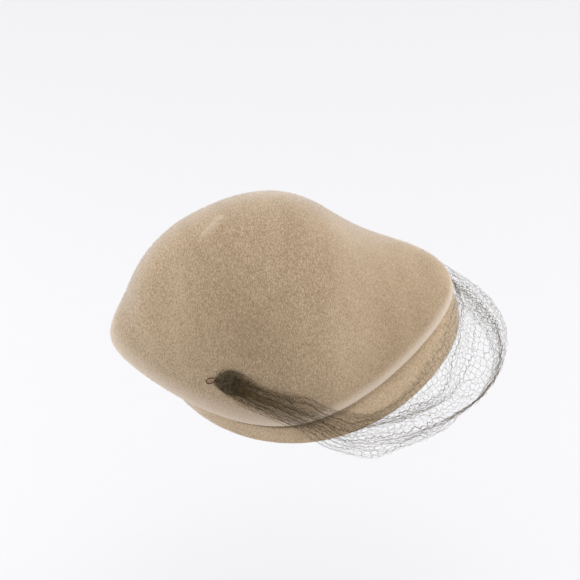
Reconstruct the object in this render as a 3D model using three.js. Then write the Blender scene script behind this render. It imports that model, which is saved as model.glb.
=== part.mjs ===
// A percher hat: a blocked felt crown with a rolled edge, a felt under-band that holds the head
// opening, and a net veil gathered at both sides. Millimetres, +Z up, the hat's front towards -Y.
// The origin is the middle of the head opening, at the height of the band's lowest points.

import * as THREE from 'three';

// ---------------------------------------------------------------- driving dimensions (mm)

const FELT = 2.0;              // thickness of one layer of felt
const GAP = 0.8;               // clearance between pieces, whose facets cut across tight curves

const EDGE_HALF_LENGTH = 109;  // crown's edge, from its middle to its front and back tips
const EDGE_HALF_WIDTH = 80;    // crown's edge, from its middle to its sides
const EDGE_FRONT_PINCH = 0.29; // how much narrower than an ellipse the edge runs to its front tip
const EDGE_BACK_PINCH = 0.38;  // the same towards its back tip
const EDGE_FRONT_HEIGHT = 30;  // underside of the rolled edge at its front tip, above the seat
const EDGE_BACK_HEIGHT = 28;   // the same at its back tip
const EDGE_SIDE_HEIGHT = 14;   // the same at its sides
const ROLL_RADIUS = 2.5;       // the felt turned under along the edge
const HEM_DEPTH = 8;           // height over which the turned-under layer thins out inside

const CROWN_BOW = 14;          // how far the dome's front slope runs back towards the sides

// Height of the crown above its edge before it rounds down to it, along the hat.
const CROWN_RISE = [
  { forward: -112, rise: 30 },
  { forward: -98, rise: 48 },
  { forward: -82, rise: 77 },
  { forward: -60, rise: 87 },
  { forward: -30, rise: 83 },
  { forward: 0, rise: 78 },
  { forward: 20, rise: 74 },
  { forward: 36, rise: 65 },
  { forward: 52, rise: 48 },
  { forward: 66, rise: 35 },
  { forward: 82, rise: 28 },
  { forward: 100, rise: 32 },
  { forward: 112, rise: 39 },
];

const BAND_FORWARD = 10;       // middle of the head opening, forward of the crown's middle
const BAND_FRONT = 102;        // head opening, from its middle to the front
const BAND_BACK = 91;          // head opening, from its middle to the back
const BAND_HALF_WIDTH = 83;    // head opening, from its middle to each side
const BAND_PINCH = 0.14;       // how much narrower than an ellipse it runs towards the front
const BAND_FRONT_LIFT = 8;     // how much higher its edge stands at the front than at the sides
const BAND_BACK_LIFT = 10;     // the same at the back
const BAND_TOP = 4.5;          // how far the band reaches up inside the rolled edge
const BAND_SWELL_OUT = 0.75;   // how soon it reaches its full width below the rolled edge
const BAND_SWELL_DOWN = 0.3;   // how far down it bends inwards again
const BAND_THROAT = [180, 215];// degrees round the inside of the rolled edge that it follows
const BAND_EMERGES = 250;      // where it leaves the rolled edge and shows

const AROUND = 64;             // facets round the hat
const CROWN_RINGS = 14;        // facets from the edge to the top of the crown
const BAND_ROWS = 5;           // facets down the part of the band that shows
const VEIL_STEPS = 60;         // facets along the veil
const VEIL_ROWS = 9;           // facets down it

// ---------------------------------------------------------------- small helpers

const lerp = THREE.MathUtils.lerp;
const smoothstep = THREE.MathUtils.smoothstep;
const degToRad = THREE.MathUtils.degToRad;

// A smooth curve through a short table: Catmull-Rom between the rows on each side of `at`.
function along(table, key, value, at) {
  const last = table.length - 1;
  let i = 0;
  while (i < last - 1 && at > table[i + 1][key]) i += 1;
  const row = (k) => table[Math.min(Math.max(k, 0), last)];
  const [a, b, c, d] = [row(i - 1), row(i), row(i + 1), row(i + 2)];
  const u = THREE.MathUtils.clamp((at - b[key]) / (c[key] - b[key]), 0, 1);
  const span = c[key] - b[key];
  const slopeB = (c[value] - a[value]) / (c[key] - a[key]) * span;
  const slopeC = (d[value] - b[value]) / (d[key] - b[key]) * span;
  const u2 = u * u;
  const u3 = u2 * u;
  return (2 * u3 - 3 * u2 + 1) * b[value] + (u3 - 2 * u2 + u) * slopeB
    + (3 * u2 - 2 * u3) * c[value] + (u3 - u2) * slopeC;
}

// A point from how far forward, how far to the wearer's right and how high it is.
function place(forward, right, up) {
  return new THREE.Vector3(-right, -forward, up);
}

// One closed mesh through rings of points: each ring is a closed loop with the same count.
// Joined end to end the rings make a hoop; otherwise each end is closed by a fan.
function skin(rings, hoop) {
  const count = rings[0].length;
  const points = rings.flat();
  const faces = [];
  const steps = hoop ? rings.length : rings.length - 1;
  for (let i = 0; i < steps; i += 1) {
    const here = i * count;
    const next = ((i + 1) % rings.length) * count;
    for (let j = 0; j < count; j += 1) {
      const k = (j + 1) % count;
      faces.push(here + j, here + k, next + k, here + j, next + k, next + j);
    }
  }
  if (!hoop) {
    const ends = [{ ring: 0, flip: true }, { ring: rings.length - 1, flip: false }];
    for (const { ring, flip } of ends) {
      const middle = new THREE.Vector3();
      rings[ring].forEach((point) => middle.addScaledVector(point, 1 / count));
      const hub = points.push(middle) - 1;
      for (let j = 0; j < count; j += 1) {
        const here = ring * count + j;
        const next = ring * count + (j + 1) % count;
        faces.push(hub, flip ? next : here, flip ? here : next);
      }
    }
  }
  const geometry = new THREE.BufferGeometry().setFromPoints(points);
  geometry.setIndex(faces);
  geometry.computeVertexNormals();
  return geometry;
}

// A closed sheet through a grid of outside points: each column runs down the outside face, and the
// inside face lies `thickness` behind it. Thickness may be a number or a function of the column.
function sheet(columns, thickness, hoop) {
  const count = columns.length;
  const rings = columns.map((column, i) => {
    const before = columns[hoop ? (i + count - 1) % count : Math.max(i - 1, 0)];
    const after = columns[hoop ? (i + 1) % count : Math.min(i + 1, count - 1)];
    const depth = typeof thickness === 'number' ? thickness : thickness(i / (count - 1));
    const inside = column.map((point, j) => {
      const round = new THREE.Vector3().subVectors(after[j], before[j]);
      const down = new THREE.Vector3().subVectors(
        column[Math.min(j + 1, column.length - 1)],
        column[Math.max(j - 1, 0)],
      );
      return point.clone().addScaledVector(round.cross(down).normalize(), depth);
    });
    return [...column, ...inside.reverse()];
  });
  return skin(rings, hoop);
}

const aroundHat = Array.from({ length: AROUND }, (_, i) => (i / AROUND) * 2 * Math.PI);

// ---------------------------------------------------------------- crown shell

// A point on the crown's outside. `angle` goes round the hat from the wearer's right (0) through
// the front (a quarter turn); `climb` goes from the edge (0) to the top (a quarter turn).
function crownPoint(angle, climb) {
  const ahead = Math.sin(angle);
  const reach = Math.cos(climb);
  const forward = EDGE_HALF_LENGTH * ahead * reach;
  const side = Math.cos(angle) * reach;
  const narrowing = ahead > 0 ? EDGE_FRONT_PINCH * ahead ** 1.5 : EDGE_BACK_PINCH * ahead ** 2;
  const toFront = smoothstep(forward, -EDGE_HALF_LENGTH, EDGE_HALF_LENGTH);
  const tip = lerp(EDGE_BACK_HEIGHT, EDGE_FRONT_HEIGHT, toFront);
  const foot = ROLL_RADIUS + lerp(tip, EDGE_SIDE_HEIGHT, Math.abs(side) ** 3);
  const rise = along(CROWN_RISE, 'forward', 'rise', forward + CROWN_BOW * side * side);
  return place(forward, EDGE_HALF_WIDTH * side * (1 - narrowing), foot + rise * Math.sin(climb));
}

function crownNormal(angle, climb) {
  const step = 0.01;
  const round = crownPoint(angle + step, climb).sub(crownPoint(angle - step, climb));
  const up = crownPoint(angle, climb + step).sub(crownPoint(angle, climb - step));
  return round.cross(up).normalize();
}

// A point beside the rolled edge: `inward` from its outermost line, `height` above its underside.
function besideEdge(angle, inward, height) {
  const point = crownPoint(angle, 0).addScaledVector(crownNormal(angle, 0), -inward);
  point.z += height - ROLL_RADIUS;
  return point;
}

// A point on a circle round the rolled edge's own middle; a half turn is its inside.
function roundRoll(angle, radius, turn) {
  const inward = ROLL_RADIUS - radius * Math.cos(turn);
  return besideEdge(angle, inward, ROLL_RADIUS + radius * Math.sin(turn));
}

// Inside of the felt: thicker near the edge, where the turned-under layer lies against it.
function crownInside(angle, climb) {
  const outside = crownPoint(angle, climb);
  const height = outside.z - crownPoint(angle, 0).z;
  const felt = lerp(2 * ROLL_RADIUS, FELT, smoothstep(height, 0, HEM_DEPTH));
  return outside.addScaledVector(crownNormal(angle, climb), -felt);
}

function crownShell() {
  const climbStep = Math.PI / 2 / CROWN_RINGS;
  const climbs = Array.from({ length: CROWN_RINGS - 1 }, (_, i) => (i + 1) * climbStep);
  const rollTurns = [180, 225, 270, 315, 360].map(degToRad);
  const rings = [
    ...climbs.toReversed().map((climb) => aroundHat.map((angle) => crownInside(angle, climb))),
    ...rollTurns.map((turn) => aroundHat.map((angle) => roundRoll(angle, ROLL_RADIUS, turn))),
    ...climbs.map((climb) => aroundHat.map((angle) => crownPoint(angle, climb))),
  ];
  return skin(rings, false);
}

// ---------------------------------------------------------------- under-band

// The head opening: the lower edge of the band.
function openingPoint(angle) {
  const ahead = Math.sin(angle);
  const reach = ahead > 0 ? BAND_FRONT : BAND_BACK;
  const lift = ahead > 0 ? BAND_FRONT_LIFT : BAND_BACK_LIFT;
  const narrowing = ahead > 0 ? BAND_PINCH * ahead ** 2 : 0;
  const right = BAND_HALF_WIDTH * Math.cos(angle) * (1 - narrowing);
  return place(BAND_FORWARD + reach * ahead, right, lift * ahead ** 2);
}

// The part of the band that shows: it swells out from under the rolled edge, down to the opening.
function bandSkirt(angle) {
  const start = roundRoll(angle, ROLL_RADIUS + GAP, degToRad(BAND_EMERGES));
  const end = openingPoint(angle);
  const swell = new THREE.Vector3(
    lerp(start.x, end.x, BAND_SWELL_OUT),
    lerp(start.y, end.y, BAND_SWELL_OUT),
    lerp(start.z, end.z, BAND_SWELL_DOWN),
  );
  return new THREE.QuadraticBezierCurve3(start, swell, end);
}

// The band's outside, from its hidden top, round the inside of the rolled edge and out below it.
function bandColumn(angle) {
  const clear = ROLL_RADIUS + GAP;
  const throat = BAND_THROAT.map((turn) => roundRoll(angle, clear, degToRad(turn)));
  const hidden = [besideEdge(angle, ROLL_RADIUS + clear, BAND_TOP), ...throat];
  return [...hidden, ...bandSkirt(angle).getPoints(BAND_ROWS)];
}

function underBand() {
  return sheet(aroundHat.map(bandColumn), FELT, true);
}

// ---------------------------------------------------------------- net veil

const VEIL_LAYER = 1.2;        // the net's outer form where it is spread
const VEIL_TUFT = 4.5;         // its outer form where it is gathered
const VEIL_GATHERED = 0.12;    // share of its length over which it fans out of each gather
const VEIL_LEFT_DROOP = 12;    // how much lower it bags on the wearer's left of the front

// The net from the gather on the wearer's right (a negative angle is behind the side) to the front.
// Heights are above the seat; `Out` is how far it stands off the felt.
const VEIL_SECTIONS = [
  { angle: -29, top: 52, fold: 47, foldOut: 0, hem: 43, hemOut: 0 },
  { angle: -22, top: 62, fold: 52, foldOut: 1, hem: 42, hemOut: 0 },
  { angle: -15, top: 56, fold: 43, foldOut: 0, hem: 31, hemOut: 0 },
  { angle: -7, top: 48, fold: 34, foldOut: 0, hem: 21, hemOut: 0 },
  { angle: 2, top: 37, fold: 22, foldOut: 0, hem: 8, hemOut: 0 },
  { angle: 10, top: 22, fold: 9, foldOut: 2, hem: -5, hemOut: 2 },
  { angle: 20, top: 13, fold: -4, foldOut: 6, hem: -16, hemOut: 5 },
  { angle: 35, top: 17, fold: -10, foldOut: 13, hem: -25, hemOut: 10 },
  { angle: 50, top: 22, fold: -12, foldOut: 20, hem: -27, hemOut: 12 },
  { angle: 68, top: 27, fold: -13, foldOut: 25, hem: -29, hemOut: 17 },
  { angle: 90, top: 29, fold: -18, foldOut: 26, hem: -33, hemOut: 15 },
];

// Where a curve that climbs or falls steadily passes a given height, found by halving.
function atHeight(pointAt, up) {
  const rising = pointAt(1).z > pointAt(0).z;
  let low = 0;
  let high = 1;
  while (high - low > 1e-6) {
    const middle = (low + high) / 2;
    if ((pointAt(middle).z < up) === rising) low = middle;
    else high = middle;
  }
  return pointAt((low + high) / 2);
}

// The outermost felt at a given height: the crown above its edge, the band below it.
function feltAt(angle, up) {
  const edge = crownPoint(angle, 0);
  if (up > edge.z) return atHeight((share) => crownPoint(angle, share * Math.PI / 3), up);
  const skirt = bandSkirt(angle);
  const outward = crownNormal(angle, 0);
  const below = Math.max(up, skirt.v2.z);
  const band = up > skirt.v0.z ? skirt.v0 : atHeight((share) => skirt.getPoint(share), below);
  const beyond = Math.max(new THREE.Vector3().subVectors(band, edge).dot(outward), 0);
  const point = edge.addScaledVector(outward, beyond);
  point.z = up;
  return point;
}

function veilColumn(angle, layer) {
  const degrees = THREE.MathUtils.radToDeg(angle);
  const onLeft = degrees > 90;
  const row = (value) => along(VEIL_SECTIONS, 'angle', value, onLeft ? 180 - degrees : degrees);
  const droop = onLeft ? VEIL_LEFT_DROOP * Math.max(Math.sin(2 * (angle - Math.PI / 2)), 0) : 0;
  const outward = crownNormal(angle, 0);
  const heights = new THREE.QuadraticBezierCurve(
    new THREE.Vector2(0, row('top')),
    new THREE.Vector2(0.5, 2 * (row('fold') - droop) - (row('top') + row('hem') - droop) / 2),
    new THREE.Vector2(1, row('hem') - droop),
  );
  return Array.from({ length: VEIL_ROWS + 1 }, (_, i) => {
    const share = i / VEIL_ROWS;
    const standsOff = share < 0.5
      ? row('foldOut') * Math.sin(share * Math.PI)
      : lerp(row('hemOut'), row('foldOut'), Math.sin(share * Math.PI));
    const point = feltAt(angle, heights.getPoint(share).y);
    return point.addScaledVector(outward, standsOff + GAP + layer);
  });
}

function netVeil() {
  const first = degToRad(VEIL_SECTIONS[0].angle);
  const layerAt = (share) => {
    const fanned = smoothstep(Math.min(share, 1 - share), 0, VEIL_GATHERED);
    return lerp(VEIL_TUFT, VEIL_LAYER, fanned);
  };
  const columns = Array.from({ length: VEIL_STEPS + 1 }, (_, i) => {
    const share = i / VEIL_STEPS;
    return veilColumn(lerp(first, Math.PI - first, share), layerAt(share));
  });
  return sheet(columns, layerAt, false);
}

// ---------------------------------------------------------------- assembly

const felt = new THREE.MeshStandardMaterial({ color: 0xae967a, roughness: 0.95, metalness: 0 });
const bandFelt = new THREE.MeshStandardMaterial({ color: 0xa8957b, roughness: 0.95, metalness: 0 });
const net = new THREE.MeshStandardMaterial({ color: 0x4d4337, roughness: 0.8, metalness: 0 });

const hat = new THREE.Group();
const pieces = [
  ['crown_shell', crownShell(), felt],
  ['under_band', underBand(), bandFelt],
  ['net_veil', netVeil(), net],
];
for (const [name, geometry, material] of pieces) {
  const mesh = new THREE.Mesh(geometry, material);
  mesh.name = name;
  hat.add(mesh);
}

export default hat;
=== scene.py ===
import math

import bpy
import numpy as np
from mathutils import Matrix, Vector


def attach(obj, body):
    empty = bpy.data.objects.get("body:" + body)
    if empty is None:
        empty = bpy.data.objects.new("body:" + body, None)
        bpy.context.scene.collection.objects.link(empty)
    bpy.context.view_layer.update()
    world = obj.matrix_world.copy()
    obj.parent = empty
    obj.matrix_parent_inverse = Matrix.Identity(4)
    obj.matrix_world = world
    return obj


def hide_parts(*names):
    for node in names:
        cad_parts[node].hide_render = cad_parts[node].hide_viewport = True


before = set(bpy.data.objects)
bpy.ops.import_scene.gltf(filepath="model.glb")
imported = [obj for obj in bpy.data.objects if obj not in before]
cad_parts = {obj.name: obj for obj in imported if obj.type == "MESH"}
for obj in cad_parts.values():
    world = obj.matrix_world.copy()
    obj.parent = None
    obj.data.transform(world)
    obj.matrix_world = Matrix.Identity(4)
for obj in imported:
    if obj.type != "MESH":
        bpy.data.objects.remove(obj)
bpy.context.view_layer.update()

# ---------------------------------------------------------------- camera
# The hat is seen from the wearer's right and from well above, through a long lens. The camera is
# rolled a little, so that the front of the hat tips up.
CAMERA_HEIGHT_ANGLE = math.radians(49)
CAMERA_ROLL = math.radians(8.37)
CAMERA_DISTANCE = 1.2
CAMERA_LENS = 118.2
AIM = Vector((0, 0, 0.032))
AIM_RIGHT = 0.0055
AIM_UP = 0.0118

towards_camera = Vector((-math.cos(CAMERA_HEIGHT_ANGLE), 0, math.sin(CAMERA_HEIGHT_ANGLE)))
hat_front = Vector((0, -1, 0))
upright = hat_front.cross(-towards_camera)
right = hat_front * math.cos(CAMERA_ROLL) - upright * math.sin(CAMERA_ROLL)
up = hat_front * math.sin(CAMERA_ROLL) + upright * math.cos(CAMERA_ROLL)
target = AIM + right * AIM_RIGHT + up * AIM_UP

camera = bpy.data.objects.new("camera", bpy.data.cameras.new("camera"))
camera.data.lens = CAMERA_LENS
camera.matrix_world = Matrix.Translation(target + towards_camera * CAMERA_DISTANCE) @ Matrix(
    (right, up, towards_camera)
).transposed().to_4x4()
bpy.context.collection.objects.link(camera)
bpy.context.scene.camera = camera

# ---------------------------------------------------------------- floor and lights
# A small white studio with a plain pale floor, a head's height below the hat. White walls light it
# evenly, but for one darker side high on the wearer's right, and three soft boxes round off the felt.
FLOOR_DROP = 0.32
FLOOR_SIZE = 8
FLOOR_COLOUR = (0.83, 0.83, 0.85, 1)
WHITE_WALLS = (0.98, 0.99, 1.0, 1)
DARK_SIDE = (0.42, 0.41, 0.40, 1)
DARK_SIDE_LIES = (-0.656, 0, 0.755)
DARK_SIDE_EDGE = 0.95
ROOM_BRIGHTNESS = 1.17
SOFT_BOXES = (
    # name, place, width, power
    ("softbox_above", (0.3, -0.3, 1.3), 1.0, 4),
    ("softbox_rear", (0.25, 1.25, 0.45), 0.9, 6),
    ("softbox_front", (-0.3, -1.2, 0.4), 0.9, 5),
)


def plain_material(name, colour, roughness):
    material = bpy.data.materials.new(name)
    material.use_nodes = True
    surface = material.node_tree.nodes["Principled BSDF"]
    surface.inputs["Base Color"].default_value = colour
    surface.inputs["Roughness"].default_value = roughness
    return material


def shades(nodes, links, amount, low, low_colour, high, high_colour):
    """A colour that runs from one shade to another while the amount climbs from low to high."""
    ramp = nodes.new("ShaderNodeValToRGB")
    first_stop, last_stop = ramp.color_ramp.elements
    first_stop.position = low
    first_stop.color = low_colour
    last_stop.position = high
    last_stop.color = high_colour
    links.new(amount, ramp.inputs["Fac"])
    return ramp.outputs["Color"]


bpy.ops.mesh.primitive_plane_add(size=FLOOR_SIZE, location=(0, 0, -FLOOR_DROP))
floor = bpy.context.object
floor.name = "studio_floor"
floor.data.materials.append(plain_material("pale_floor", FLOOR_COLOUR, 0.9))

room = bpy.data.worlds.new("studio")
room.use_nodes = True
nodes, links = room.node_tree.nodes, room.node_tree.links
looking = nodes.new("ShaderNodeTexCoord")
to_dark_side = nodes.new("ShaderNodeVectorMath")
to_dark_side.operation = "DOT_PRODUCT"
to_dark_side.inputs[1].default_value = DARK_SIDE_LIES
links.new(looking.outputs["Generated"], to_dark_side.inputs[0])
walls = shades(nodes, links, to_dark_side.outputs["Value"], 0, WHITE_WALLS, DARK_SIDE_EDGE, DARK_SIDE)
links.new(walls, nodes["Background"].inputs["Color"])
nodes["Background"].inputs["Strength"].default_value = ROOM_BRIGHTNESS
bpy.context.scene.world = room
bpy.context.scene.view_settings.view_transform = "Standard"

for name, place, width, power in SOFT_BOXES:
    softbox = bpy.data.objects.new(name, bpy.data.lights.new(name, "AREA"))
    softbox.data.shape = "DISK"
    softbox.data.size = width
    softbox.data.energy = power
    softbox.location = place
    softbox.rotation_euler = (-Vector(place)).to_track_quat("-Z", "Y").to_euler()
    bpy.context.collection.objects.link(softbox)

# ---------------------------------------------------------------- crown
# The crown is one cone of wool felt, steamed and pulled over a block: a round dome at the back, a
# slope, and a low front like a small visor. Its edge is turned under and steamed into a soft roll.
MM = 0.001
FELT = 2 * MM
EDGE_HALF_LENGTH = 109 * MM
EDGE_HALF_WIDTH = 80 * MM
EDGE_FRONT_PINCH = 0.29
EDGE_BACK_PINCH = 0.38
EDGE_FRONT_HEIGHT = 30 * MM
EDGE_BACK_HEIGHT = 28 * MM
EDGE_SIDE_HEIGHT = 14 * MM
ROLL_RADIUS = 2.5 * MM
HEM_DEPTH = 8 * MM
CROWN_BOW = 14 * MM
CROWN_RISE = np.array([
    # how far forward, how high above the edge
    (-112, 30), (-98, 48), (-82, 77), (-60, 87), (-30, 83), (0, 78), (20, 74),
    (36, 65), (52, 48), (66, 35), (82, 28), (100, 32), (112, 39),
]) * MM
AROUND = 288
CROWN_RINGS = 84
ROLL_TURNS = np.radians(np.arange(180, 361, 15))


def along(knots, values, at):
    """A smooth curve through a short table, as the part's source draws it."""
    last = len(knots) - 1
    i = np.clip(np.searchsorted(knots, at) - 1, 0, last - 1)
    before, after = np.maximum(i - 1, 0), np.minimum(i + 2, last)
    span = knots[i + 1] - knots[i]
    u = np.clip((at - knots[i]) / span, 0, 1)
    slope_a = (values[i + 1] - values[before]) / (knots[i + 1] - knots[before]) * span
    slope_b = (values[after] - values[i]) / (knots[after] - knots[i]) * span
    return (
        (2 * u**3 - 3 * u**2 + 1) * values[i] + (u**3 - 2 * u**2 + u) * slope_a
        + (3 * u**2 - 2 * u**3) * values[i + 1] + (u**3 - u**2) * slope_b
    )


def smoothstep(value, low, high):
    u = np.clip((value - low) / (high - low), 0, 1)
    return u * u * (3 - 2 * u)


def blend(a, b, share):
    return a + (b - a) * share


def unit(ways):
    return ways / np.linalg.norm(ways, axis=-1, keepdims=True)


def crown_point(angle, climb):
    """A point on the crown: angle from the wearer's right through the front, climb from its edge."""
    ahead = np.sin(angle)
    reach = np.cos(climb)
    forward = EDGE_HALF_LENGTH * ahead * reach
    side = np.cos(angle) * reach
    front_pinch = EDGE_FRONT_PINCH * np.abs(ahead) ** 1.5
    narrowing = np.where(ahead > 0, front_pinch, EDGE_BACK_PINCH * ahead**2)
    to_front = smoothstep(forward, -EDGE_HALF_LENGTH, EDGE_HALF_LENGTH)
    tip = blend(EDGE_BACK_HEIGHT, EDGE_FRONT_HEIGHT, to_front)
    foot = ROLL_RADIUS + blend(tip, EDGE_SIDE_HEIGHT, np.abs(side) ** 3)
    rise = along(CROWN_RISE[:, 0], CROWN_RISE[:, 1], forward + CROWN_BOW * side**2)
    across = EDGE_HALF_WIDTH * side * (1 - narrowing)
    return np.stack([-across, -forward, foot + rise * np.sin(climb)], -1)


def crown_normal(angle, climb, step=0.01):
    to_front = crown_point(angle + step, climb) - crown_point(angle - step, climb)
    to_top = crown_point(angle, climb + step) - crown_point(angle, climb - step)
    return unit(np.cross(to_front, to_top))


def beside_edge(angle, inward, height):
    point = crown_point(angle, 0 * angle) - crown_normal(angle, 0 * angle) * inward
    point[..., 2] += height - ROLL_RADIUS
    return point


def round_roll(angle, radius, turn):
    """A point round the rolled edge's own middle; a half turn is its inside."""
    inward = ROLL_RADIUS - radius * math.cos(turn)
    return beside_edge(angle, inward, ROLL_RADIUS + radius * math.sin(turn))


def mesh_piece(name, points, faces):
    mesh = bpy.data.meshes.new(name)
    mesh.from_pydata(points.reshape(-1, 3).tolist(), [], faces)
    mesh.update()
    mesh.shade_smooth()
    piece = bpy.data.objects.new(name, mesh)
    bpy.context.collection.objects.link(piece)
    return piece


def ring_faces(rings, count, hoop=False):
    """Quads between rings of `count` points each, every ring closed on itself."""
    faces = []
    for i in range(rings if hoop else rings - 1):
        for j in range(count):
            k = (j + 1) % count
            here, there = i * count, (i + 1) % rings * count
            faces.append((here + j, here + k, there + k, there + j))
    return faces


def mark_points(piece, name, values):
    marks = piece.data.attributes.new(name, "FLOAT", "POINT")
    marks.data.foreach_set("value", values.ravel())


angles = np.arange(AROUND) / AROUND * 2 * math.pi
climbs = np.arange(1, CROWN_RINGS) / CROWN_RINGS * math.pi / 2
edge_line = crown_point(angles, 0 * angles)


def crown_outside(climb):
    return crown_point(angles, np.full(AROUND, climb))


def crown_inside(climb):
    """Behind the outside by one layer of felt, or by two where the edge is turned under."""
    point = crown_outside(climb)
    thickness = blend(2 * ROLL_RADIUS, FELT, smoothstep(point[:, 2] - edge_line[:, 2], 0, HEM_DEPTH))
    return point - crown_normal(angles, np.full(AROUND, climb)) * thickness[:, None]


crown_points = np.array(
    [crown_inside(climb) for climb in climbs[::-1]]
    + [round_roll(angles, ROLL_RADIUS, turn) for turn in ROLL_TURNS]
    + [crown_outside(climb) for climb in climbs]
)
inside_top = list(range(AROUND))[::-1]
outside_top = [(len(crown_points) - 1) * AROUND + j for j in range(AROUND)]
crown_faces = ring_faces(len(crown_points), AROUND) + [inside_top, outside_top]
crown = mesh_piece("crown", crown_points, crown_faces)
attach(crown, "root")
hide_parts("crown_shell")

# The edge is painted paler: partly wear from handling, partly a painted highlight where the rolled
# edge catches light from below. The foot of the back is painted paler as painted light from behind,
# and handling has left a scuff on the dome. The front is brushed smoother than the back. Painted
# shade darkens the groove under the edge.
EDGE_PAINTED_LIGHT_AND_WEAR = 0.75
EDGE_PAINTED_LIGHT_AND_WEAR_WIDTH = 9 * MM
# Painted light from behind makes the foot of the back paler.
FOOT_PAINTED_LIGHT = 0.6
FOOT_PAINTED_LIGHT_WIDTH = 20 * MM
FOOT_PAINTED_LIGHT_FADE = 30 * MM
SCUFF_WEAR = 0.28
SCUFF_WIDTH = 2.8 * MM
SCUFF_ENDS = np.array([(1, 39), (14, 28)]) * MM
BRUSHED_FRONT = 60 * MM
BRUSHED_FELT = 0.4
# Where the painted shade under the edge is full, and where it has faded towards the front.
SHADE_UNDER_EDGE_AT_FRONT = 0.08
SHADE_UNDER_EDGE_FADES_FROM = -20 * MM
SHADE_UNDER_EDGE_FADED_BY = 55 * MM

from_edge = np.linalg.norm(crown_points - edge_line, axis=-1)
# Paler towards the edge: partly wear, partly a painted highlight where the roll catches light from below.
edge_painted_light_and_wear = 1 - smoothstep(from_edge, EDGE_PAINTED_LIGHT_AND_WEAR_WIDTH * 0.1, EDGE_PAINTED_LIGHT_AND_WEAR_WIDTH)
# Paler at the foot of the back: painted light from behind, strongest near the edge.
at_back = smoothstep(crown_points[..., 1], -FOOT_PAINTED_LIGHT_FADE, FOOT_PAINTED_LIGHT_FADE)
painted_light_at_foot = (1 - smoothstep(from_edge, 0, FOOT_PAINTED_LIGHT_WIDTH)) * at_back
scuff_run = SCUFF_ENDS[1] - SCUFF_ENDS[0]
beside_scuff = crown_points[..., :2] - SCUFF_ENDS[0]
passed = np.clip(beside_scuff @ scuff_run / (scuff_run @ scuff_run), 0, 1)
off_scuff = np.linalg.norm(beside_scuff - passed[..., None] * scuff_run, axis=-1)
scuffed = np.exp(-(off_scuff / SCUFF_WIDTH) ** 2)
scuffed[:len(climbs)] = 0
# One mark for the paler colour: wear and painted highlight at the edge, painted light at the back's foot,
# wear at the scuff.
crown_painted_light_and_wear = np.maximum.reduce([EDGE_PAINTED_LIGHT_AND_WEAR * edge_painted_light_and_wear, FOOT_PAINTED_LIGHT * painted_light_at_foot, SCUFF_WEAR * scuffed])
crown_brushed = smoothstep(-crown_points[..., 1], 0, BRUSHED_FRONT)


def shade_under_edge_amount(points):
    """Painted shade under the rolled edge: full at the sides and back, fading towards the front, where the
    groove opens.
    """
    return blend(1, SHADE_UNDER_EDGE_AT_FRONT, smoothstep(-points[..., 1], SHADE_UNDER_EDGE_FADES_FROM, SHADE_UNDER_EDGE_FADED_BY))


# Painted shade on the crown's felt where it turns under the rolled edge.
under_edge = edge_line[:, 2] - crown_points[..., 2]
tucked_under = smoothstep(under_edge, ROLL_RADIUS * 0.5, ROLL_RADIUS * 0.95)
mark_points(crown, "painted_light_and_wear", crown_painted_light_and_wear)
mark_points(crown, "brushed", BRUSHED_FELT * crown_brushed)
mark_points(crown, "painted_shade_under_edge", tucked_under * shade_under_edge_amount(crown_points))

# Wool felt is matt and a little hairy. Its fibres show as short streaks, lying down and backward,
# over wide soft patches of lighter and darker wool.
FIBRES_LIE = (0.45, 1, 0.4)
FELT_FIBRES = 1700
FELT_PATCHES = 28
PATCH_SHARE = 0.3
FIBRE_BUMP = 0.5 * MM
# Paler felt for wear and painted highlight.
PALER_FELT_FOR_PAINTED_LIGHT_AND_WEAR = (0.77, 0.655, 0.535, 1)
# Near-black colour for painted shade under the rolled edge.
SHADE_UNDER_EDGE_COLOUR = (0.12, 0.085, 0.05, 1)


def on_piece(nodes, links, stretch=(1, 1, 1)):
    """Coordinates that stay on the piece, stretched the way its fibres lie."""
    place = nodes.new("ShaderNodeTexCoord")
    lie = nodes.new("ShaderNodeMapping")
    lie.inputs["Scale"].default_value = stretch
    links.new(place.outputs["Object"], lie.inputs["Vector"])
    return lie.outputs["Vector"]


def speckle(nodes, links, place, scale, detail=2, roughness=0.5):
    noise = nodes.new("ShaderNodeTexNoise")
    noise.inputs["Scale"].default_value = scale
    noise.inputs["Detail"].default_value = detail
    noise.inputs["Roughness"].default_value = roughness
    links.new(place, noise.inputs["Vector"])
    return noise.outputs["Fac"]


def tint_marked(nodes, links, colour, mark, marked_colour):
    """The colour, turned into another where the piece's points carry the mark."""
    amount = nodes.new("ShaderNodeAttribute")
    amount.attribute_name = mark
    mixed = nodes.new("ShaderNodeMix")
    mixed.data_type = "RGBA"
    mixed.inputs["B"].default_value = marked_colour
    links.new(amount.outputs["Fac"], mixed.inputs["Factor"])
    links.new(colour, mixed.inputs["A"])
    return mixed.outputs["Result"]


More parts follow.
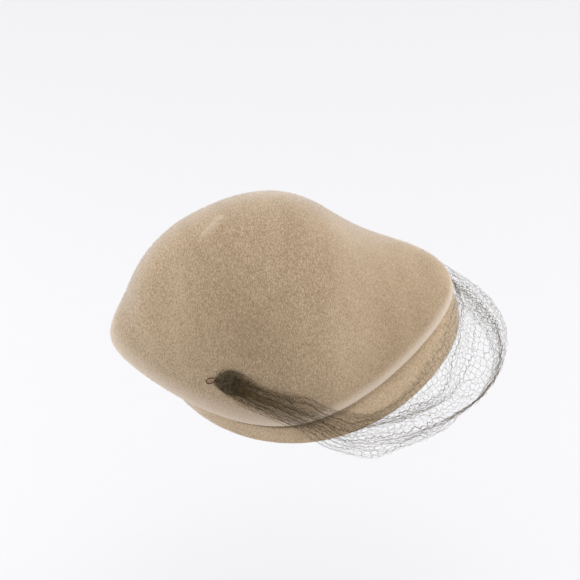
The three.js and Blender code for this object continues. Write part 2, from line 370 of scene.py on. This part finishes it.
def felt_material(name, light, dark):
    material = plain_material(name, light, 0.95)
    nodes, links = material.node_tree.nodes, material.node_tree.links
    surface = nodes["Principled BSDF"]
    place = on_piece(nodes, links, FIBRES_LIE)
    fibres = speckle(nodes, links, place, FELT_FIBRES, roughness=0.7)
    patches = speckle(nodes, links, place, FELT_PATCHES, detail=4, roughness=0.6)

    brushed = nodes.new("ShaderNodeAttribute")
    brushed.attribute_name = "brushed"
    calmed = nodes.new("ShaderNodeMix")
    calmed.inputs["B"].default_value = 0.5
    links.new(brushed.outputs["Fac"], calmed.inputs["Factor"])
    links.new(fibres, calmed.inputs["A"])
    mottled = nodes.new("ShaderNodeMath")
    mottled.operation = "MULTIPLY_ADD"
    mottled.inputs[1].default_value = PATCH_SHARE
    links.new(patches, mottled.inputs[0])
    links.new(calmed.outputs["Result"], mottled.inputs[2])

    colour = shades(nodes, links, mottled.outputs[0], 0.52, dark, 0.78, light)
    # Paler where marked, for wear and painted highlight.
    colour = tint_marked(nodes, links, colour, "painted_light_and_wear", PALER_FELT_FOR_PAINTED_LIGHT_AND_WEAR)
    # Darker where marked, for painted shade under the rolled edge.
    colour = tint_marked(nodes, links, colour, "painted_shade_under_edge", SHADE_UNDER_EDGE_COLOUR)
    links.new(colour, surface.inputs["Base Color"])
    bump = nodes.new("ShaderNodeBump")
    bump.inputs["Strength"].default_value = 0.6
    bump.inputs["Distance"].default_value = FIBRE_BUMP
    links.new(fibres, bump.inputs["Height"])
    links.new(bump.outputs["Normal"], surface.inputs["Normal"])
    surface.inputs["Specular IOR Level"].default_value = 0.12
    surface.inputs["Sheen Weight"].default_value = 1
    surface.inputs["Sheen Roughness"].default_value = 0.35
    surface.inputs["Sheen Tint"].default_value = (1, 0.97, 0.95, 1)
    return material


crown.data.materials.append(felt_material(
    "crown_felt", light=(0.585, 0.448, 0.306, 1), dark=(0.325, 0.228, 0.138, 1),
))

# ---------------------------------------------------------------- nap of the crown
# The felt has a short nap of loose wool ends, brushed down and backward, that stands a little proud
# of it everywhere. Each fibre is rooted just under the surface and tapers to a point.
NAP_COUNT = 90000
NAP_LENGTH = (0.6 * MM, 1.5 * MM)
NAP_WIDTH = 0.08 * MM
NAP_ROOT = 0.05 * MM
NAP_LIES = np.array((0.1, 0.2, -0.95))
NAP_SCATTER = 0.35
NAP_STANDS = 0.55
NAP_TUFTS = 1650
BARE_ROLL_TURNS = 8
BRUSHED_NAP = 0.6
# Paler nap for wear and painted highlight.
PALER_NAP_FOR_PAINTED_LIGHT_AND_WEAR = (0.84, 0.75, 0.65, 1)


def nap_fibres(name, grid, painted_light_and_wear, brushed, count, seed):
    """Tapered fibres scattered evenly over a closed grid of rings."""
    chance = np.random.default_rng(seed)
    to_next = np.roll(grid, -1, 1)[:-1] - grid[:-1]
    to_next_ring = grid[1:] - grid[:-1]
    cell_facing = np.cross(to_next, to_next_ring)
    cell_size = np.linalg.norm(cell_facing, axis=-1).ravel()
    cell = chance.choice(cell_size.size, count, p=cell_size / cell_size.sum())
    i, j = np.divmod(cell, grid.shape[1])
    u, v = chance.random((2, count, 1))
    surface = grid[i, j] + to_next[i, j] * u + to_next_ring[i, j] * v
    out = unit(cell_facing[i, j])
    lie = NAP_LIES - out * (out @ NAP_LIES)[:, None]
    lie += chance.normal(size=(count, 3)) * NAP_SCATTER
    heading = unit(lie + out * NAP_STANDS * chance.uniform(0.3, 1.4, (count, 1)))
    aside = unit(np.cross(heading, chance.normal(size=(count, 3)))) * NAP_WIDTH / 2
    tip = surface + heading * chance.uniform(*NAP_LENGTH, (count, 1))
    root = surface - out * NAP_ROOT
    corners = np.stack([root - aside, root + aside, tip], 1)
    fibres = mesh_piece(name, corners, np.arange(count * 3).reshape(-1, 3).tolist())
    # The nap carries the felt's mark for wear and painted highlight.
    mark_points(fibres, "painted_light_and_wear", np.repeat(painted_light_and_wear[i, j], 3))
    mark_points(fibres, "brushed", np.repeat(brushed[i, j], 3))
    return fibres


def shade(colour, share):
    """The same colour, made darker or lighter."""
    return [min(channel * share, 1) for channel in colour[:3]] + [1]


def nap_material(name, colour):
    """Tufts of darker and lighter fibres, evened out where brushed and paler where marked for wear and
    painted highlight.
    """
    material = plain_material(name, colour, 0.9)
    nodes, links = material.node_tree.nodes, material.node_tree.links
    tufts = speckle(nodes, links, on_piece(nodes, links, FIBRES_LIE), NAP_TUFTS)
    shown = shades(nodes, links, tufts, 0.40, shade(colour, 0.36), 0.60, shade(colour, 1.34))
    shown = tint_marked(nodes, links, shown, "brushed", colour)
    # Paler where marked, for wear and painted highlight.
    shown = tint_marked(nodes, links, shown, "painted_light_and_wear", PALER_NAP_FOR_PAINTED_LIGHT_AND_WEAR)
    links.new(shown, nodes["Principled BSDF"].inputs["Base Color"])
    return material


outside = slice(len(climbs) + BARE_ROLL_TURNS, None)
crown_nap = nap_fibres(
    "crown_nap", crown_points[outside], crown_painted_light_and_wear[outside],
    BRUSHED_NAP * crown_brushed[outside], NAP_COUNT, seed=3,
)
crown_nap.data.materials.append(nap_material("crown_nap_fibres", (0.68, 0.555, 0.42, 1)))
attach(crown_nap, "root")

# ---------------------------------------------------------------- under-band
# The under-band is a strip of the same felt. It is sewn up inside the rolled edge, swells out below
# it and falls to the head opening, where the felt is folded to a soft edge.
GAP = 0.8 * MM
BAND_FORWARD = 10 * MM
BAND_FRONT = 102 * MM
BAND_BACK = 91 * MM
BAND_HALF_WIDTH = 83 * MM
BAND_PINCH = 0.14
BAND_FRONT_LIFT = 8 * MM
BAND_BACK_LIFT = 10 * MM
BAND_TOP = 4.5 * MM
BAND_SWELL_OUT = 0.75
BAND_SWELL_DOWN = 0.3
BAND_CLEAR = ROLL_RADIUS + GAP
BAND_THROAT = np.radians((180, 198, 215, 232))
BAND_EMERGES = math.radians(250)
BAND_ROWS = 20
BARE_BAND_ROWS = 8
# How far down the band the painted shade under the rolled edge reaches.
SHADE_UNDER_EDGE_TOP = 0.8 * MM
SHADE_UNDER_EDGE_FOOT = 3.4 * MM


def opening_point(angle):
    ahead = np.sin(angle)
    reach = np.where(ahead > 0, BAND_FRONT, BAND_BACK)
    lift = np.where(ahead > 0, BAND_FRONT_LIFT, BAND_BACK_LIFT)
    narrowing = np.where(ahead > 0, BAND_PINCH * ahead**2, 0)
    across = BAND_HALF_WIDTH * np.cos(angle) * (1 - narrowing)
    return np.stack([-across, -(BAND_FORWARD + reach * ahead), lift * ahead**2], -1)


def band_skirt(angle, share):
    """The part of the band that shows, from the rolled edge down to the head opening."""
    start = round_roll(angle, BAND_CLEAR, BAND_EMERGES)
    end = opening_point(angle)
    swell = blend(start, end, np.array((BAND_SWELL_OUT, BAND_SWELL_OUT, BAND_SWELL_DOWN)))
    share = share[..., None]
    return (1 - share) ** 2 * start + 2 * share * (1 - share) * swell + share**2 * end


band_outside = np.array(
    [beside_edge(angles, ROLL_RADIUS + BAND_CLEAR, BAND_TOP)]
    + [round_roll(angles, BAND_CLEAR, turn) for turn in BAND_THROAT]
    + [band_skirt(angles, np.full(AROUND, i / BAND_ROWS)) for i in range(BAND_ROWS + 1)]
)
around_band = np.roll(band_outside, -1, 1) - np.roll(band_outside, 1, 1)
down_band = np.gradient(band_outside, axis=0)
band_inward = unit(np.cross(around_band, down_band))
band_inside = (band_outside + band_inward * FELT)[::-1]
lip = band_outside[-1] + band_inward[-1] * FELT / 2 + (0, 0, -FELT / 3)
band_points = np.concatenate([band_outside, lip[None], band_inside])[::-1]
band = mesh_piece("under_band_felt", band_points, ring_faces(len(band_points), AROUND, hoop=True))
# Painted shade on the top of the band, just under the rolled edge.
band_drop = round_roll(angles, BAND_CLEAR, BAND_EMERGES)[:, 2] - band_points[..., 2]
in_shade_under_edge = 1 - smoothstep(band_drop, SHADE_UNDER_EDGE_TOP, SHADE_UNDER_EDGE_FOOT)
mark_points(band, "painted_shade_under_edge", in_shade_under_edge * shade_under_edge_amount(band_points))
mark_points(band, "painted_light_and_wear", 0 * band_drop)
mark_points(band, "brushed", 0 * band_drop)
# The band's felt colours are lighter than the crown's: painted light from below, where the floor lights
# the band.
band.data.materials.append(felt_material(
    "band_felt", light=(0.72, 0.56, 0.39, 1), dark=(0.46, 0.342, 0.222, 1),
))
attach(band, "root")
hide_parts("under_band")

band_face = band_outside[BARE_BAND_ROWS:][::-1]
unmarked = np.zeros(band_face.shape[:2])
band_nap = nap_fibres("band_nap", band_face, unmarked, unmarked, NAP_COUNT // 3, seed=4)
# Its nap is lighter than the crown's as well, as painted light from below.
band_nap.data.materials.append(nap_material("band_nap_fibres_with_painted_light", (0.76, 0.625, 0.485, 1)))
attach(band_nap, "root")

# ---------------------------------------------------------------- net veil
# The veil is one piece of fine knotted net, cut as a half-oval. Its ends are gathered and sewn to
# each side of the crown, and it bags out below the rolled edge, creased along an outer fold.
# Five lines run along it, from its top edge to its hem. At each angle round the hat the table says
# how high each line is and, below the top edge, how far it stands off the felt.
NET_COLUMNS = (
    "angle", "edge_up", "inner_up", "inner_out", "swell_up", "swell_out",
    "fold_up", "fold_out", "hem_up", "hem_out",
)
NET_FAN = [
    (-26, 51, 50, 0, 49, 0, 48, 0, 47, 0),
    (-24, 55, 52, 0, 50, 0, 48, 0, 45, 0),
    (-21, 58, 53, 0, 49, 0, 46, 0, 41, 0),
    (-18, 57, 51, 0, 46, 0, 42, 0, 37, 0),
    (-15, 55, 48, 0, 43, 0, 39, 0, 34, 0),
    (-11, 51, 45, 0, 39, 0, 35, 0, 30, 0),
    (-7, 48, 41, 0, 35, 0, 30, 0, 25, 0),
    (-3, 45, 37, 0, 29, 0, 24, 0, 18, 0),
    (2, 41, 30, 0, 21, 0, 15, 0, 8, 1),
    (6, 35, 23, 0, 14, 1, 8, 2, 2, 3),
]
NET_BAG = [
    (10, 26, 14, 1, 7, 3, 2, 5, -3, 7),
    (15, 16, 7, 3, 3, 7, -2, 8, -9, 11),
    (20, 11, 6, 4, 2, 10, -4, 10, -13, 14),
    (27, 8, 4, 6, 0, 14, -7, 13, -10, 17),
    (35, 10, 2, 8, -2, 18, -9, 16, -16, 18),
    (42, 13, -2, 9, -4, 21, -11, 18, -20, 19),
    (50, 17, -5, 10, -7, 24, -15, 20, -20, 19),
    (60, 22, 1, 9, -8, 27, -20, 22, -28, 18),
    (70, 26, 5, 7, -8, 28, -21, 24, -30, 18),
    (80, 28, 8, 6, -7, 28, -19, 24, -30, 19),
    (90, 28, 8, 5, -9, 27, -19, 22, -31, 18),
    (100, 28, 6, 5, -14, 26, -23, 20, -32, 16),
    (110, 27, 4, 5, -17, 25, -25, 19, -34, 14),
    (120, 25, 2, 5, -17, 23, -25, 18, -34, 13),
    (135, 20, 2, 5, -13, 18, -20, 16, -31, 12),
    (150, 15, 4, 4, -6, 12, -12, 13, -24, 10),
    (160, 12, 6, 2, 0, 7, -4, 8, -13, 9),
    (165, 16, 7, 2, 3, 5, -1, 6, -8, 8),
    (170, 26, 14, 1, 7, 3, 2, 5, -3, 6),
]
LEFT_FAN = [(180 - angle, *lines) for angle, *lines in NET_FAN[::-1]]
NET_LINES = np.array(NET_FAN + NET_BAG + LEFT_FAN, float)
LINE_NAMES = ("edge", "inner", "swell", "fold", "hem")
LINE_LEVELS = np.array([0, 0.32, 0.64, 0.82, 1])
NET_OFF_FELT = 0.7 * MM
NET_STEPS = 300
NET_LEVELS = 72


def at_height(curve, up):
    """Points where a curve that climbs or falls steadily passes the given heights, by halving."""
    low, high = np.zeros_like(up), np.ones_like(up)
    rising = curve(high)[..., 2] > curve(low)[..., 2]
    for _ in range(22):
        middle = (low + high) / 2
        before = (curve(middle)[..., 2] < up) == rising
        low, high = np.where(before, middle, low), np.where(before, high, middle)
    return curve(low)


def felt_at(angle, up):
    """The outermost felt at each height: the crown above its edge, and the band below it."""
    edge = crown_point(angle, 0 * angle)
    outward = crown_normal(angle, 0 * angle)
    crown_up = np.maximum(up, edge[..., 2])
    on_crown = at_height(lambda share: crown_point(angle, share * math.pi / 3), crown_up)
    top, bottom = band_skirt(angle, 0 * up), band_skirt(angle, 0 * up + 1)
    band_up = np.clip(up, bottom[..., 2], top[..., 2])
    on_band = at_height(lambda share: band_skirt(angle, share), band_up)
    beyond = np.maximum(((on_band - edge) * outward).sum(-1), 0)
    below = edge + outward * beyond[..., None]
    below[..., 2] = up
    return np.where((up > edge[..., 2])[..., None], on_crown, below)


def net_line(name, angle):
    """How high a line of the veil runs, or how far off the felt, from its column of the table."""
    return along(NET_LINES[:, 0], NET_LINES[:, NET_COLUMNS.index(name)], angle) * MM


even = np.linspace(NET_LINES[0, 0], NET_LINES[-1, 0], 1200)
middle_line = felt_at(np.radians(even), net_line("inner_up", even))
middle_line += crown_normal(np.radians(even), 0 * even) * net_line("fold_out", even)[:, None]
run = np.concatenate([[0], np.cumsum(np.linalg.norm(np.diff(middle_line, axis=0), axis=1))])
net_length = run[-1]
step_shares = np.linspace(0, 1, NET_STEPS)
step_angles = np.interp(step_shares * net_length, run, even)
levels = np.linspace(0, 1, NET_LEVELS)
line_ups = np.array([net_line(name + "_up", step_angles) for name in LINE_NAMES])
line_outs = np.array([0 * step_angles] + [net_line(name + "_out", step_angles) for name in LINE_NAMES[1:]])
net_up = np.array([along(LINE_LEVELS, ups, levels) for ups in line_ups.T])
net_out = np.array([along(LINE_LEVELS, outs, levels) for outs in line_outs.T])
net_turn = np.radians(np.broadcast_to(step_angles[:, None], (NET_STEPS, NET_LEVELS)))
outward = crown_normal(net_turn, 0 * net_turn)
net_surface = felt_at(net_turn, net_up) + outward * (np.maximum(net_out, 0) + NET_OFF_FELT)[..., None]


def on_net(along_net, across_net):
    """Points of the veil's surface; both shares run from 0 to 1, from the right and from the top."""
    x = np.clip(along_net, 0, 1) * (NET_STEPS - 1)
    y = np.clip(across_net, 0, 1) * (NET_LEVELS - 1)
    i = np.minimum(x.astype(int), NET_STEPS - 2)
    j = np.minimum(y.astype(int), NET_LEVELS - 2)
    u, v = (x - i)[..., None], (y - j)[..., None]
    top = blend(net_surface[i, j], net_surface[i + 1, j], u)
    bottom = blend(net_surface[i, j + 1], net_surface[i + 1, j + 1], u)
    return blend(top, bottom, v)


def net_outward(along_net):
    angle = np.radians(np.interp(along_net, step_shares, step_angles))
    return crown_normal(angle, 0 * angle)


# Rows of thread run from gather to gather, bunched in threes at the gathers, and crowd together in
# the creases of the veil. Finer links knot each row to the next, so that the holes are six-sided.
ROW_THREAD = 0.095 * MM
ROW_THREAD_CHOICES = (0.5, 0.65, 0.85, 1.25, 2.3)
HEM_THREAD = 0.7
LINK_THREAD = 0.036 * MM
NET_ROWS = 38
ROW_BUNCH = 3
NET_STITCH = 2.2 * MM
NET_CROWDING = np.array([
    # angle, then the share of the rows that lies above each of the levels below
    (-26, 0.27, 0.37, 0.60, 0.78, 0.88), (5, 0.27, 0.38, 0.60, 0.77, 0.88),
    (20, 0.24, 0.50, 0.64, 0.75, 0.90), (45, 0.19, 0.54, 0.63, 0.68, 0.88),
    (60, 0.28, 0.45, 0.52, 0.61, 0.86), (90, 0.30, 0.38, 0.48, 0.59, 0.84),
    (120, 0.31, 0.39, 0.49, 0.61, 0.85), (150, 0.26, 0.48, 0.62, 0.72, 0.90),
    (170, 0.27, 0.38, 0.60, 0.77, 0.88), (206, 0.27, 0.37, 0.60, 0.78, 0.88),
])
CROWD_LEVELS = np.array([0, 0.25, 0.38, 0.60, 0.77, 0.87, 1])
BUNCHED_AT_GATHER = 0.8
BUNCHED_IN_FRONT = 0.2
GATHER_REACH = 0.12
GATHER_OPENS = 0.30
FRONT_STARTS = 0.28
FRONT_FULL = 0.36
FOLD_LEVEL = 0.82
FOLD_DEPTH = 0.05
HOLES_OPEN_BY = 0.03
HOLE_SHARE = 0.36
SMALL_HOLE = 0.55 * MM
LARGE_HOLE = 1.0 * MM
KNOT_SLIP = 0.30
KNOT_LIFT = 0.9 * MM
NET_PUFF = 0.8 * MM
ROW_SWAY = 0.21 * MM
LINK_SWAY = 0.12 * MM
random = np.random.default_rng(12)


def thread_mesh(name, lines, radius, sides=3):
    """Round threads, closed at their ends, along lines that all have the same number of points."""
    count, points = lines.shape[:2]
    heading = np.gradient(lines, axis=1)
    heading /= np.linalg.norm(heading, axis=-1, keepdims=True) + 1e-12
    aside = np.cross(heading, np.array((0.31, 0.17, 0.93)))
    aside /= np.linalg.norm(aside, axis=-1, keepdims=True) + 1e-12
    above = np.cross(heading, aside)
    turns = (np.arange(sides) / sides * 2 * math.pi)[None, None, :, None]
    radius = np.broadcast_to(radius, count)[:, None, None, None]
    rings = (
        lines[:, :, None]
        + radius * np.cos(turns) * aside[:, :, None]
        + radius * np.sin(turns) * above[:, :, None]
    )
    index = np.arange(count * points * sides).reshape(count, points, sides)
    here, there = index[:, :-1], index[:, 1:]
    quads = np.stack([here, np.roll(here, -1, 2), np.roll(there, -1, 2), there], -1).reshape(-1, 4)
    ends = index[:, 0, ::-1].tolist() + index[:, -1].tolist()
    return mesh_piece(name, rings, quads.tolist() + ends)


def thread_material(name, colour, flecks=300):
    material = plain_material(name, colour, 0.7)
    nodes, links = material.node_tree.nodes, material.node_tree.links
    surface = nodes["Principled BSDF"]
    surface.inputs["Specular IOR Level"].default_value = 0.15
    fibres = speckle(nodes, links, on_piece(nodes, links), flecks)
    shown = shades(nodes, links, fibres, 0.3, shade(colour, 0.5), 0.7, shade(colour, 1.7))
    links.new(shown, surface.inputs["Base Color"])
    return material


def drift(count, points, every, across):
    """Slow random drift in rows and columns, about 1 in size, with a knot at every few steps."""
    knots = random.normal(size=(count // across + 2, points // every + 3))
    x = np.linspace(0, knots.shape[1] - 1, points)
    y = np.linspace(0, knots.shape[0] - 1, count)
    in_rows = np.array([np.interp(x, np.arange(knots.shape[1]), row) for row in knots])
    return np.array([np.interp(y, np.arange(knots.shape[0]), column) for column in in_rows.T]).T


def slack(starts, ends, points, sway):
    """Threads from knot to knot, each a little slack."""
    share = np.linspace(0, 1, points)[None, :, None]
    lines = starts[:, None] * (1 - share) + ends[:, None] * share
    lines[:, 1:-1] += random.normal(size=lines[:, 1:-1].shape) * sway
    return lines


columns = int(net_length / NET_STITCH) // 2 * 2
shape = (NET_ROWS + 1, columns + 1)
rows = np.arange(NET_ROWS + 1)
column_share = np.arange(columns + 1) / columns
column_angle = np.interp(column_share, step_shares, step_angles)
from_end = np.minimum(column_share, 1 - column_share)
in_front = smoothstep(from_end, FRONT_STARTS, FRONT_FULL)

# Each row is drawn towards the middle of its bunch, drifts a little, and crowds into the creases.
opened = smoothstep(from_end, GATHER_REACH, GATHER_OPENS)
gathered = blend(BUNCHED_AT_GATHER, BUNCHED_IN_FRONT, opened)
bunch_middle = (rows // ROW_BUNCH + 0.5) * ROW_BUNCH
row_share = (rows[:, None] + (bunch_middle - rows)[:, None] * gathered) / NET_ROWS
bunch_drift = drift(NET_ROWS // ROW_BUNCH + 2, columns + 1, 6, 1)[rows // ROW_BUNCH]
row_drift = drift(*shape, 2, 1)
row_share += bunch_drift * (0.012 + 0.03 * gathered) + row_drift * (0.014 - 0.009 * gathered)
row_share = np.clip(1 - np.abs(1 - np.abs(row_share)), 0, 1)
crowding = np.array([along(NET_CROWDING[:, 0], NET_CROWDING[:, i], column_angle) for i in range(1, 6)])
row_level = np.array([
    np.interp(row_share[:, i], [0, *crowding[:, i], 1], CROWD_LEVELS) for i in range(columns + 1)
]).T

# Each knot is pulled up or down by turns, which opens the holes, and lifted where the net puffs out.
knot_share = np.clip(column_share[None] + random.normal(size=shape) * KNOT_SLIP / columns, 0, 1)
knots = on_net(knot_share, row_level)
down_net = unit(on_net(knot_share, row_level + 0.02) - on_net(knot_share, row_level - 0.02))
spacing = np.linalg.norm(np.gradient(knots, axis=0), axis=-1)
by_turns = np.where((np.arange(columns + 1)[None] + rows[:, None]) % 2 == 0, 1, -1)
in_fold = np.exp(-((row_level - FOLD_LEVEL) / FOLD_DEPTH) ** 2) * in_front
pull = np.clip(spacing * HOLE_SHARE, blend(SMALL_HOLE, LARGE_HOLE, in_fold), LARGE_HOLE)
pull *= by_turns * random.uniform(0.3, 1.7, shape) * np.minimum(1, from_end / HOLES_OPEN_BY)
lift = np.abs(drift(*shape, 4, 2)) * NET_PUFF + random.uniform(0, 1, shape) * (1 + in_fold) * KNOT_LIFT
knots = knots + down_net * pull[..., None] + net_outward(knot_share) * lift[..., None]

# The rows' thread is uneven. It is finer in front, except along the fold, where the net lies double.
row_lines = slack(knots[:, :-1].reshape(-1, 3), knots[:, 1:].reshape(-1, 3), 4, ROW_SWAY)
row_weight = random.choice(ROW_THREAD_CHOICES, NET_ROWS + 1)
row_weight[-1] = HEM_THREAD
row_weight = np.repeat(row_weight, columns)
row_weight = row_weight * random.uniform(0.8, 1.2, row_weight.size)
doubled = in_fold * random.uniform(0, 1, shape)
fineness = 1.06 - 0.3 * gathered - 0.35 * in_front + 0.6 * doubled
net_rows = thread_mesh("net_rows", row_lines, ROW_THREAD * row_weight * fineness[:, :-1].ravel())

linked = by_turns[:-1] > 0
link_lines = slack(knots[:-1][linked], knots[1:][linked], 3, LINK_SWAY)
link_weight = 1.1 - 0.4 * np.broadcast_to(in_front, linked.shape)[linked]
net_links = thread_mesh("net_links", link_lines, LINK_THREAD * link_weight)

net_thread = thread_material("net_thread", (0.120, 0.083, 0.033, 1))
for piece in (net_rows, net_links):
    piece.data.materials.append(net_thread)
    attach(piece, "root")

# ---------------------------------------------------------------- gathers
# Each end of the net is drawn up into a small fuzzy wad of its own thread, with loose threads lying
# along the net. One stitch of dark red sewing thread holds it down and stands out behind as a loop.
WAD_STRANDS = 210
WAD_POINTS = 9
WAD_HALF_LENGTH = 8.0 * MM
WAD_HALF_HEIGHT = 7.8 * MM
WAD_THICKNESS = 3.0 * MM
WAD_THREAD = 0.13 * MM
WAD_ANGLE = math.radians(-19.5)
WAD_UP = 50 * MM
WAD_FALL = math.radians(-10)
LOOSE_STRANDS = 30
LOOSE_POINTS = 34
LOOSE_THREAD = 1.2 * ROW_THREAD
LOOP_LENGTH = 6.4 * MM
LOOP_WIDTH = 3.8 * MM
LOOP_THREAD = 0.3 * MM
LOOP_ANGLE = math.radians(-27.5)
LOOP_UP = 48.5 * MM
LOOP_RISE = math.radians(38)


def on_crown_side(angle, up, tilt):
    """A point of the crown, and the ways forward, up and out from it, with the first two tilted."""
    place = felt_at(np.array([angle]), np.array([up]))[0]
    forward = unit(felt_at(np.array([angle + 0.02]), np.array([up]))[0] - place)
    climb = unit(felt_at(np.array([angle]), np.array([up + MM]))[0] - place)
    ahead = math.cos(tilt) * forward + math.sin(tilt) * climb
    above = math.cos(tilt) * climb - math.sin(tilt) * forward
    return place, ahead, above, unit(np.cross(forward, climb))


def curled_strands(count, points):
    """
    Short curled threads in a dome that is 2 across and 1 high, thickest at its rear and loose
    towards the net: each starts somewhere in it, bends as it goes, and is drawn in at the rear.
    """
    ahead = random.beta(1.3, 2.6, size=(count, 1, 1)) * 2.6 - 0.95
    above = random.normal(size=(count, 1, 1)) * (0.50 - 0.06 * ahead) - 0.18 * (ahead + 0.4)
    start = np.concatenate([ahead, above, 0 * ahead], -1)
    bend = random.normal(size=(count, points, 3)) * 0.8
    steps = unit(random.normal(size=(count, 1, 3)) + (0.5, 0, 0) + np.cumsum(bend, axis=1))
    path = start + np.cumsum(steps * (0.13, 0.17, 0.10), axis=1)
    rear = np.minimum(path[..., 0:1], 0) ** 2 + path[..., 1:2] ** 2
    path[..., :2] /= np.maximum(rear, 1) ** 0.35
    dome = np.sqrt(np.clip(1.05 - np.minimum(rear[..., 0], 1), 0.04, 1))
    dome *= np.exp(-np.maximum(path[..., 0], 0))
    path[..., 2] = dome * (0.15 + 0.85 * np.abs(np.sin(path[..., 2] * 2.2 + start[..., 0] * 9)))
    return path


def gather_wad(side, flip):
    place, ahead, above, _ = on_crown_side(WAD_ANGLE, WAD_UP, WAD_FALL)
    strands = curled_strands(WAD_STRANDS, WAD_POINTS)
    flat = place + strands[..., 0:1] * WAD_HALF_LENGTH * ahead
    flat += strands[..., 1:2] * WAD_HALF_HEIGHT * above
    angle = np.arctan2(-flat[..., 1] / EDGE_HALF_LENGTH, -flat[..., 0] / EDGE_HALF_WIDTH)
    off_felt = NET_OFF_FELT + strands[..., 2:3] * WAD_THICKNESS
    lines = felt_at(angle, flat[..., 2]) + crown_normal(angle, 0 * angle) * off_felt
    return thread_mesh("gather_" + side, flip(lines), WAD_THREAD)


def loose_threads(side, flip):
    start = random.uniform(0.005, 0.035, (LOOSE_STRANDS, 1))
    length = random.uniform(0.03, 0.13, (LOOSE_STRANDS, 1))
    trail = start + length * np.linspace(0, 1, LOOSE_POINTS)
    wander = 0.012 * np.cumsum(random.normal(size=trail.shape), axis=1)
    wander += 0.03 * random.normal(size=trail.shape)
    level = np.clip(random.uniform(0.02, 0.98, (LOOSE_STRANDS, 1)) + wander, 0, 1)
    off_net = random.uniform(0.2, 2.2, (LOOSE_STRANDS, 1, 1)) * MM
    lines = on_net(trail, level) + net_outward(trail) * off_net
    return thread_mesh("loose_threads_" + side, flip(lines), LOOSE_THREAD)


def stitch_loop(side, flip):
    place, ahead, above, out = on_crown_side(LOOP_ANGLE, LOOP_UP, LOOP_RISE)
    turn = np.linspace(-2.9, 2.9, 29)[:, None]
    narrowing = 0.62 + 0.38 * np.cos(turn / 2.2)
    line = place - ahead * np.cos(turn) * LOOP_LENGTH / 2
    line = line + above * np.sin(turn) * narrowing * LOOP_WIDTH / 2
    line = line + out * (LOOP_THREAD + 0.5 * MM * np.abs(np.cos(turn / 2)))
    return thread_mesh("stitch_" + side, flip(line)[None], LOOP_THREAD, sides=8)


def mirrored(points):
    return points * (-1, 1, 1)


wad_thread = thread_material("wad_thread", (0.125, 0.096, 0.058, 1), flecks=1400)
stitch_thread = thread_material("stitch_thread", (0.085, 0.022, 0.016, 1))
gathers = []
for side, flip in (("right", np.array), ("left", mirrored)):
    wad = gather_wad(side, flip)
    loose = loose_threads(side, flip)
    stitch = stitch_loop(side, flip)
    wad.data.materials.append(wad_thread)
    loose.data.materials.append(net_thread)
    stitch.data.materials.append(stitch_thread)
    for piece in (wad, loose, stitch):
        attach(piece, "root")
    gathers += [wad, loose, stitch]

# ---------------------------------------------------------------- sheet of net
# The cloth of the veil as one gathered sheet, for what the rows and links are too few to show: the
# finest threads, knotted into holes of about 5 mm and nearly too thin to see.
SHEET_LIFT = 0.2 * MM
NET_DEPTH = 0.1
FINE_HOLES = 210
FINE_THREAD = 0.02

sheet_faces = []
for i in range(NET_STEPS - 1):
    for j in range(NET_LEVELS - 1):
        corner = i * NET_LEVELS + j
        sheet_faces.append((corner, corner + 1, corner + NET_LEVELS + 1, corner + NET_LEVELS))
net_sheet = mesh_piece("net_sheet", net_surface + outward * SHEET_LIFT, sheet_faces)
flat_layout = net_sheet.data.uv_layers.new(name="net_layout")
net_share = np.stack(np.meshgrid(step_shares, levels, indexing="ij"), -1).reshape(-1, 2)
corners = np.array([loop.vertex_index for loop in net_sheet.data.loops])
flat_layout.data.foreach_set("uv", (net_share[corners] * (net_length, NET_DEPTH)).ravel())

fine_net = plain_material("fine_net", (0.075, 0.058, 0.04, 1), 0.7)
nodes, links = fine_net.node_tree.nodes, fine_net.node_tree.links
flat_place = nodes.new("ShaderNodeUVMap")
flat_place.uv_map = "net_layout"
holes = nodes.new("ShaderNodeTexVoronoi")
holes.voronoi_dimensions = "2D"
holes.feature = "DISTANCE_TO_EDGE"
holes.inputs["Scale"].default_value = FINE_HOLES
holes.inputs["Randomness"].default_value = 0.7
links.new(flat_place.outputs["UV"], holes.inputs["Vector"])
on_thread = nodes.new("ShaderNodeMath")
on_thread.operation = "LESS_THAN"
on_thread.inputs[1].default_value = FINE_THREAD
links.new(holes.outputs["Distance"], on_thread.inputs[0])
links.new(on_thread.outputs[0], nodes["Principled BSDF"].inputs["Alpha"])
net_sheet.data.materials.append(fine_net)
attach(net_sheet, "root")
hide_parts("net_veil")
